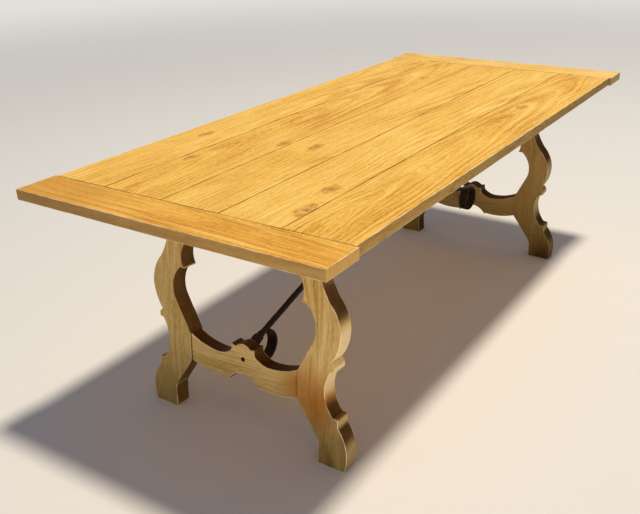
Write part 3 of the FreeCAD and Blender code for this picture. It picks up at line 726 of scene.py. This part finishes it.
# By default the sheltered cut edges get #3c2306, which is painted shade.
def waxed_wood(name, colours, arris, weathered_and_shade, painted_shade="#3c2306", pore="#a4661d", ring=8 * MM,
               fibre=4 * MM, knots=(), warm_spots=(), dust_and_shade=0.0, rub_and_highlight_share=0.95, roughness=0.55,
               gloss=0.16):
    """Waxed softwood whose grain follows the board's own attributes."""
    material, tree = empty_material(name)
    place = node(tree, "ShaderNodeTexCoord").outputs["Object"]
    axes, board, across, clouds, nearest = grain_lines(tree, place, knots)
    blotch = clouds["blotch"]
    figure, pores = figure_of(tree, ring, fibre, axes, board, across, clouds)
    ramp = node(tree, "ShaderNodeValToRGB", links={"Fac": figure})
    for at, colour in zip(RAMP_PLACES[1:-1], colours[1:-1]):
        ramp.color_ramp.elements.new(at).color = linear(colour)
    for end in (0, -1):
        ramp.color_ramp.elements[end].position = RAMP_PLACES[end]
        ramp.color_ramp.elements[end].color = linear(colours[end])
    layers = [(pores, pore)]
    if knots:
        layers += knot_layers(tree, place, nearest)
    layers += spot_layers(tree, place, warm_spots, blotch)
    layers += sawn_layers(tree, painted_shade, weathered_and_shade, blotch)
    if dust_and_shade:
        layers.append(dust_and_shade_layer(tree, place, dust_and_shade, blotch))
    layers += arris_layers(tree, place, arris, rub_and_highlight_share)
    colour = ramp.outputs["Color"]
    for share, tint in layers:
        colour = node(tree, "ShaderNodeMix", {7: linear(tint)}, {0: share, 6: colour},
                      data_type="RGBA").outputs[2]
    smooth, dull = [roughness + change for change in SHEEN_RANGE]
    sheen = node(tree, MAP_RANGE, {"To Min": smooth, "To Max": dull}, {"Value": blotch})
    relief = node(tree, "ShaderNodeBump", {"Strength": 0.6, "Distance": 0.5 * MM},
                  {"Height": figure})
    shader = node(tree, "ShaderNodeBsdfPrincipled", {"IOR": WOOD_IOR, "Specular IOR Level": gloss},
                  {"Base Color": colour, "Roughness": sheen, "Normal": relief})
    node(tree, "ShaderNodeOutputMaterial", links={"Surface": shader})
    return material


print("a wood has", len(RAMP_PLACES), "colours, from dark to pale")

# %% [markdown]
# ## The woods of this table
# The planks are honey yellow. The near end board was stained more orange, the
# far one bleached paler in the sun. The legs, crossbars and bearers are a
# greyer tan. The far trestle and the batten have a darker copy of that tan,
# which is painted shade, for the deeper shade that they stand in. The knots
# lie where they do on the real top: each is given by its place and its half
# width. A warm spot is given by its middle, its reach, its strength and its
# colour.

# %% Woods
TOP_KNOTS = [(-0.672, -0.239, 13 * MM), (-0.826, -0.271, 15 * MM), (-0.381, 0.007, 12 * MM),
             (-0.402, 0.117, 11 * MM), (-0.435, 0.406, 10 * MM), (-0.640, 0.276, 10 * MM),
             (0.35, -0.36, 11 * MM), (0.62, 0.17, 10 * MM)]
LEG_SPOTS = [(-0.775, -0.235, 0.185, 0.15, 1.4, "#a8661e")]
END_SPOTS = [(-1.02, 0.43, 0.762, 0.34, 0.8, "#b87722")]
# On the trestles the sheltered cut edges get #3f2203, which is painted shade.
TRESTLE_FINISH = {"painted_shade": "#3f2203", "pore": "#85652f", "ring": 9 * MM, "fibre": 4.5 * MM,
                  "dust_and_shade": 0.8, "rub_and_highlight_share": 0.7, "roughness": 0.62, "gloss": 0.07}

# On the planks the open-edge colour #665030 is painted shade: it darkens their long edges, the side
# of the top that faces away from the light.
top_wood = waxed_wood("honey_waxed_pine", ("#b0731b", "#dba035", "#efba51", "#f8c864", "#fedc88"),
                      "#f7e6c0", "#665030", knots=TOP_KNOTS)
orange_wood = waxed_wood("orange_waxed_pine",
                         ("#b0711b", "#d5932d", "#e9ad44", "#f2bd57", "#f8cd74"),
                         "#f3dcb2", "#9b7d50", ring=11 * MM, warm_spots=END_SPOTS)
pale_wood = waxed_wood("sun_bleached_pine", ("#cf9435", "#e6ae4c", "#f2c263", "#f7cd78", "#fcdf9c"),
                       "#f7e8c6", "#94794f")
tan_wood = waxed_wood("tan_waxed_pine", ("#a5854a", "#b99858", "#c9a868", "#d3b576", "#dcc189"),
                      "#eddcb6", "#d6bf94", warm_spots=LEG_SPOTS, **TRESTLE_FINISH)
# A darker copy of the tan wood, which is painted shade: the far trestle and the batten stand deeper
# in the top's shadow.
shade_darkened_wood = waxed_wood("shade_darkened_pine", ("#856832", "#967840", "#a4864d", "#ae9058", "#b89c68"),
                        "#dcc79d", "#bca67c", **TRESTLE_FINISH)
woods = (top_wood, orange_wood, pale_wood, tan_wood, shade_darkened_wood)
print("woods:", [wood.name for wood in woods])

# %% [markdown]
# ## The top
# Five planks lie between two end boards. Where two boards meet, the eased
# arrises make a shallow V that years of wax and crumbs have darkened, so
# those strips carry a dark `arris`, while the outer ones are rubbed pale.

# %% Planks and end boards
PLANK_COUNT = 5
PLANK_ARRIS = 1.7 * MM
OUTER_STRIP = 8 * MM
JOINT_STRIP = 4 * MM
END_SEED = 8
plank_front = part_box("plank_1")[0].y
plank_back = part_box("plank_5")[1].y
joint_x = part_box("end_board_right")[0].x


def in_a_joint(point):
    """True for a strip beside another board of the top."""
    return min(point.y - plank_front, plank_back - point.y) > OUTER_STRIP


def at_end_joint(point):
    """True for an end board's strip beside the planks."""
    return abs(point.x) < joint_x + JOINT_STRIP and plank_front < point.y < plank_back


for number in range(1, PLANK_COUNT + 1):
    name = "plank_%d" % number
    plank = dressed(name, X, Y, PLANK_ARRIS, number, in_a_joint)
    finish_piece(plank, name, top_wood)
for number, (side, wood) in enumerate((("left", orange_wood), ("right", pale_wood)), END_SEED):
    name = "end_board_" + side
    end_board = dressed(name, Y, X * -1, PLANK_ARRIS, number, at_end_joint)
    finish_piece(end_board, name, wood)
print("planks run from y", round(plank_front, 3), "to", round(plank_back, 3))
print("the end boards start at x", round(joint_x, 3))

# %% [markdown]
# ## The trestles
# The legs and the crossbar were sawn from thick board to a scroll outline.
# Their grain runs up the leg and along the bar. The cut edges inside the lyre
# and the top of the crossbar are painted dark brown, which is painted shade, as
# they lie in the top's shadow. On the outside of a leg, only edges that look up
# at the top get this painted shade.

# %% Legs, crossbars, bearers and batten
LEAN = math.radians(4.7)
TRESTLE_ARRIS = 2.2 * MM
TRESTLE_SEED = 20
# How much an outside edge looks up sets how much painted shade it gets.
SHADE_GAIN, SHADE_START = 6.0, 1.2


def inside_lyre(point, normal):
    """How much painted shade a leg's sawn edge gets: all of it inside the lyre, outside by how much
    it looks up.
    """
    if point.y * normal.y < 0:
        return 1.0
    return max(-1.0, min(1.0, SHADE_GAIN * normal.z - SHADE_START))


def everywhere(point, normal):
    """Every sawn edge under the top gets the full painted shade."""
    return 1.0


seed = TRESTLE_SEED
for side, sign, trestle_wood in (("left", 1, tan_wood), ("right", -1, shade_darkened_wood)):
    up_leg = Vector((sign * math.sin(LEAN), 0, math.cos(LEAN)))
    for place in ("front", "back"):
        for part, other in (("leg_", "leg_edge_"), ("leg_edge_", "leg_")):
            name = part + side + "_" + place
            piece = dressed(name, up_leg, Y, TRESTLE_ARRIS, seed, painted_shade=inside_lyre,
                            glued=(other + side + "_" + place,))
            finish_piece(piece, name, trestle_wood)
            seed += 1
    legs = tuple("leg_" + side + "_" + place for place in ("front", "back"))
    for name, across in (("crossbar_" + side, up_leg), ("bearer_" + side, X)):
        piece = dressed(name, Y, across, TRESTLE_ARRIS, seed, painted_shade=everywhere, glued=legs)
        finish_piece(piece, name, trestle_wood)
        seed += 1
piece = dressed("centre_batten", Y, X, TRESTLE_ARRIS, seed, painted_shade=everywhere)
finish_piece(piece, "centre_batten", shade_darkened_wood)
print("trestle pieces dressed:", seed - TRESTLE_SEED + 1)

# %% [markdown]
# ## Trees that make pieces
# Two helpers serve every Geometry Nodes tree below. One starts a tree with its
# named inputs. The other lends a tree to a piece as a modifier, sets each
# input by its socket's identifier, and keeps the mesh that comes out.

# %% Tree helpers
def new_tree(name, inputs):
    """An empty geometry tree with a geometry input and output and named inputs."""
    tree = bpy.data.node_groups.new(name, "GeometryNodeTree")
    tree.interface.new_socket("Geometry", in_out="INPUT", socket_type="NodeSocketGeometry")
    for label, kind in inputs.items():
        tree.interface.new_socket(label, in_out="INPUT", socket_type="NodeSocket" + kind)
    tree.interface.new_socket("Geometry", in_out="OUTPUT", socket_type="NodeSocketGeometry")
    return tree


def made_by(tree, piece, values):
    """The mesh that a geometry tree makes from a piece with the given inputs."""
    modifier = piece.modifiers.new(tree.name, "NODES")
    modifier.node_group = tree
    for item in tree.interface.items_tree:
        if item.in_out == "INPUT" and item.name in values:
            modifier[item.identifier] = values[item.name]
    depsgraph = bpy.context.evaluated_depsgraph_get()
    mesh = bpy.data.meshes.new_from_object(piece.evaluated_get(depsgraph))
    piece.modifiers.clear()
    return mesh


print("helpers:", new_tree.__name__, "and", made_by.__name__)

# %% [markdown]
# ## Whittled pegs
# Each end board is held by ten small pegs, and each leg's tenon by one. A peg
# is whittled to a dozen facets, driven, sawn off and planed nearly flush. A
# repeated piece like this suits Geometry Nodes: a tree makes one peg from a
# cylinder with a drawn-in end, sets a copy on every point, and turns each by
# chance. Before the copies are made, each point of the peg keeps its place
# from the peg's heart in an attribute, so that the wood can draw rings round
# every peg's own middle.

# %% Peg tree
PEG_END_SCALE = 0.86

peg_tree = tree = new_tree("whittled_pegs", {
    "Diameter": "Float", "Length": "Float", "Draw-in": "Float", "Facets": "Int",
    "Axis Turn": "Vector", "Seed": "Int", "Material": "Material"})
given = node(tree, "NodeGroupInput").outputs
radius = node(tree, MATH, {1: 0.5}, {0: given["Diameter"]}, operation="MULTIPLY")
shaft_length = node(tree, MATH,
                    links={0: given["Length"], 1: given["Draw-in"]}, operation="SUBTRACT")
shaft = node(tree, "GeometryNodeMeshCylinder",
             links={"Vertices": given["Facets"], "Radius": radius, "Depth": shaft_length})
tip = node(tree, "GeometryNodeExtrudeMesh",
           links={"Mesh": shaft.outputs["Mesh"], "Selection": shaft.outputs["Top"],
                  "Offset Scale": given["Draw-in"]}, mode="FACES")
drawn = node(tree, "GeometryNodeScaleElements", {"Scale": PEG_END_SCALE},
             {"Geometry": tip.outputs["Mesh"], "Selection": tip.outputs["Top"]})
half_down = node(tree, MATH, {1: -0.5}, {0: given["Draw-in"]}, operation="MULTIPLY")
lowered = node(tree, "ShaderNodeCombineXYZ", links={"Z": half_down})
centred = node(tree, "GeometryNodeTransform", links={"Geometry": drawn, "Translation": lowered})
own_place = node(tree, "GeometryNodeInputPosition")
hearted = node(tree, "GeometryNodeStoreNamedAttribute", {"Name": "heart"},
               {"Geometry": centred, "Value": own_place}, data_type="FLOAT_VECTOR", domain="POINT")
on_points = node(tree, "GeometryNodeInstanceOnPoints",
                 links={"Points": given["Geometry"], "Instance": hearted,
                        "Rotation": given["Axis Turn"]})
chance_turn = node(tree, "FunctionNodeRandomValue", {0: (0, 0, 0), 1: (0, 0, 2 * math.pi)},
                   {"Seed": given["Seed"]}, data_type="FLOAT_VECTOR")
turned = node(tree, "GeometryNodeRotateInstances", {"Local Space": True},
              {"Instances": on_points, "Rotation": chance_turn})
count = node(tree, "GeometryNodeInputIndex")
numbered = node(tree, "GeometryNodeStoreNamedAttribute", {"Name": "board"},
                {"Geometry": turned, "Value": count}, data_type="FLOAT", domain="INSTANCE")
solid = node(tree, "GeometryNodeRealizeInstances", links={"Geometry": numbered})
faceted = node(tree, "GeometryNodeSetShadeSmooth", {"Shade Smooth": False}, {"Geometry": solid})
painted = node(tree, "GeometryNodeSetMaterial",
               links={"Geometry": faceted, "Material": given["Material"]})
node(tree, "NodeGroupOutput", links={0: painted})
print("peg tree has", len(peg_tree.nodes), "nodes")

# %% [markdown]
# ## The pegs' wood
# The pegs are split from a paler, harder wood and show their end grain: fine
# rings round the heart, with a dark line at the rim where dirt sits between
# peg and hole. Each peg's number makes some of them browner than others.

# %% Peg wood
PEG_RING = 1.4 * MM
PEG_RIM = (2.7 * MM, 3.0 * MM)

peg_wood, tree = empty_material("pale_oak_end_grain")
heart = node(tree, "ShaderNodeAttribute", attribute_name="heart")
flat_heart = node(tree, VECTOR_MATH, {1: (1, 1, 0)}, {0: heart.outputs["Vector"]},
                  operation="MULTIPLY")
from_heart = node(tree, VECTOR_MATH, links={0: flat_heart}, operation="LENGTH")
number = node(tree, "ShaderNodeAttribute", attribute_name="board")
ring_count = node(tree, MATH, {1: 1 / PEG_RING},
                  {0: from_heart.outputs["Value"], 2: number.outputs["Fac"]},
                  operation="MULTIPLY_ADD")
ring_noise = node(tree, NOISE, {"Scale": 1.0, "Detail": 2.0},
                  {"W": ring_count}, noise_dimensions="1D")
end_grain = node(tree, "ShaderNodeValToRGB", links={"Fac": ring_noise})
for end, at, tint in ((0, 0.35, "#e3c184"), (1, 0.62, "#fdf0cd")):
    end_grain.color_ramp.elements[end].position = at
    end_grain.color_ramp.elements[end].color = linear(tint)
rim = node(tree, MAP_RANGE, {"From Min": PEG_RIM[0], "From Max": PEG_RIM[1]},
           {"Value": from_heart.outputs["Value"]})
rimmed = node(tree, "ShaderNodeMix", {7: linear("#6a4416")},
              {0: rim, 6: end_grain.outputs["Color"]}, data_type="RGBA")
shader = node(tree, "ShaderNodeBsdfPrincipled",
              {"IOR": WOOD_IOR, "Specular IOR Level": 0.25, "Roughness": 0.6},
              {"Base Color": rimmed.outputs[2]})
node(tree, "ShaderNodeOutputMaterial", links={"Surface": shader})
print("peg rings are", round(PEG_RING / MM, 1), "mm apart")

# %% [markdown]
# ## Where the pegs go
# The CAD node gives the places: its loose solids are found one by one, and the
# middle of each one's box is a peg. The points go through the peg tree, and
# what comes out stands for the node.

# %% Pegs
PEG_DRAW_IN = 0.5 * MM
PEG_FACETS = 12
PEG_SEED = 4


def solid_boxes(node_name):
    """The low and high corner of every loose solid in a CAD node, in a fixed order."""
    bm = merged_copy(node_name)
    boxes = [box_of(island) for island in islands(bm)]
    bm.free()
    return sorted(boxes, key=lambda box: (round(box[0].x, 4), round(box[0].y, 4)))


def whittled(node_name, axis_turn, axis):
    """Puts pegs made by the peg tree in the places of a CAD node's pegs and counts them."""
    boxes = solid_boxes(node_name)
    middles = bpy.data.meshes.new(node_name)
    middles.from_pydata([(low + high) / 2 for low, high in boxes], [], [])
    piece = in_scene("whittled_" + node_name, middles)
    low, high = boxes[0]
    piece.data = made_by(peg_tree, piece, {
        "Diameter": high.y - low.y, "Length": high[axis] - low[axis], "Draw-in": PEG_DRAW_IN,
        "Facets": PEG_FACETS, "Axis Turn": axis_turn, "Seed": PEG_SEED, "Material": peg_wood})
    finish_piece(piece, node_name, None)
    return len(boxes)


for side in ("left", "right"):
    print(side, "end pegs:", whittled("end_board_pegs_" + side, (0.0, 0.0, 0.0), 2),
          "bearer pegs:", whittled("bearer_pegs_" + side, (0.0, math.pi / 2, 0.0), 0))

# %% [markdown]
# ## Blackened iron and steel
# The stays are wrought iron: drawn from the bar on an anvil, curled hot, and
# quenched under wax and scale, which leaves a brown-black skin with a dull
# sheen. The bolts and screws are steel, blackened in oil, which gives a
# smoother black. One recipe serves both, with patches of brown in a size of
# their own.

# %% Dark metal
METAL_SHEEN_RANGE = (-0.12, 0.14)


def dark_metal(name, colour, rust, roughness, patch):
    """Blackened metal with a trace of brown in patches of a given size."""
    material, tree = empty_material(name)
    place = node(tree, "ShaderNodeTexCoord")
    patches = node(tree, NOISE, {"Scale": 1 / patch, "Detail": 4.0, "Roughness": 0.6},
                   {"Vector": place.outputs["Object"]})
    tint = node(tree, "ShaderNodeValToRGB", links={"Fac": patches})
    for end, at, shade in ((0, 0.42, colour), (1, 0.72, rust)):
        tint.color_ramp.elements[end].position = at
        tint.color_ramp.elements[end].color = linear(shade)
    smooth, dull = [roughness + change for change in METAL_SHEEN_RANGE]
    sheen = node(tree, MAP_RANGE, {"To Min": smooth, "To Max": dull}, {"Value": patches})
    pitted = node(tree, "ShaderNodeBump", {"Strength": 0.4, "Distance": 0.2 * MM},
                  {"Height": patches})
    shader = node(tree, "ShaderNodeBsdfPrincipled", {"Metallic": 0.25, "Specular IOR Level": 0.25},
                  {"Base Color": tint.outputs["Color"], "Roughness": sheen, "Normal": pitted})
    node(tree, "ShaderNodeOutputMaterial", links={"Surface": shader})
    return material


forged_iron = dark_metal("waxed_forged_iron", "#1a0b05", "#3c1c0e", 0.66, 14 * MM)
black_steel = dark_metal("blackened_steel", "#2a2725", "#453a33", 0.4, 7 * MM)
slots = {row["node"]: row["material_slot"] for row in frame["record"]["subparts"]}
steel_nodes = [name for name in frame["nodes"] if slots[name] == "steel"]
for name in steel_nodes:
    frame["nodes"][name].data.materials.clear()
    frame["nodes"][name].data.materials.append(black_steel)
print("steel nodes:", len(steel_nodes))

# %% [markdown]
# ## Hammer marks
# Forging leaves no sharp edge and no flat face: the corners are round, and
# every face has shallow overlapping dents as wide as the hammer's mark. A
# geometry tree rounds the corners by blurring each point's place, and then
# pulls each point inwards by its distance from the nearest hammer mark. The
# marks lie in space, so the dents follow the bar round its bends. Blurring
# eats about a millimetre of a thin bar, so the tree also lets the skin out.

# %% Hammer tree
hammer_tree = tree = new_tree("hammered_iron", {
    "Rounding": "Int", "Mark Spacing": "Float", "Depth": "Float", "Let Out": "Float",
    "Material": "Material"})
given = node(tree, "NodeGroupInput").outputs
own_place = node(tree, "GeometryNodeInputPosition")
blurred = node(tree, "GeometryNodeBlurAttribute",
               links={"Value": own_place, "Iterations": given["Rounding"]},
               data_type="FLOAT_VECTOR")
rounded = node(tree, "GeometryNodeSetPosition",
               links={"Geometry": given["Geometry"], "Position": blurred})
marks_per_metre = node(tree, MATH, {0: 1.0}, {1: given["Mark Spacing"]}, operation="DIVIDE")
marks = node(tree, "ShaderNodeTexVoronoi", {"Randomness": 0.9, "Smoothness": 0.35},
             {"Vector": own_place, "Scale": marks_per_metre}, feature="SMOOTH_F1")
dent = node(tree, MAP_RANGE, {"From Min": 0.15, "From Max": 0.75, "To Min": -1.0, "To Max": 0.0},
            {"Value": marks.outputs["Distance"]}, interpolation_type="SMOOTHSTEP")
pull = node(tree, MATH, links={0: dent, 1: given["Depth"], 2: given["Let Out"]},
            operation="MULTIPLY_ADD")
outward = node(tree, "GeometryNodeInputNormal")
shift = node(tree, VECTOR_MATH, links={0: outward, "Scale": pull}, operation="SCALE")
dented = node(tree, "GeometryNodeSetPosition", links={"Geometry": rounded, "Offset": shift})
realized = node(tree, "GeometryNodeRealizeInstances", links={"Geometry": dented})
coated = node(tree, "GeometryNodeSetMaterial",
              links={"Geometry": realized, "Material": given["Material"]})
node(tree, "NodeGroupOutput", links={0: coated})
print("hammer tree has", len(hammer_tree.nodes), "nodes")

# %% [markdown]
# ## The stays
# A CAD face has points only at its corners, and a dent needs points of its
# own. So each stay is first remeshed to an even skin with a point every
# couple of millimetres, and then goes through the hammer tree.

# %% Hammered stays
SKIN_STEP = 1.7 * MM
FORGING = {"Rounding": 3, "Mark Spacing": 11 * MM, "Depth": 0.8 * MM, "Let Out": 2.4 * MM,
           "Material": forged_iron}

for side in ("left", "right"):
    name = "iron_stay_" + side
    bm = merged_copy(name)
    mesh = bpy.data.meshes.new(name)
    bm.to_mesh(mesh)
    bm.free()
    stay = in_scene("hammered_" + name, mesh)
    skin = stay.modifiers.new("even_skin", "REMESH")
    skin.mode = "VOXEL"
    skin.voxel_size = SKIN_STEP
    skin.use_smooth_shade = True
    stay.data = made_by(hammer_tree, stay, FORGING)
    finish_piece(stay, name, None)
    print(name, "has", len(stay.data.polygons), "faces")

# %% [markdown]
# ## Colour management
# The Standard view transform shows colours as they are written.

# %% Finish
bpy.context.scene.view_settings.view_transform = "Standard"
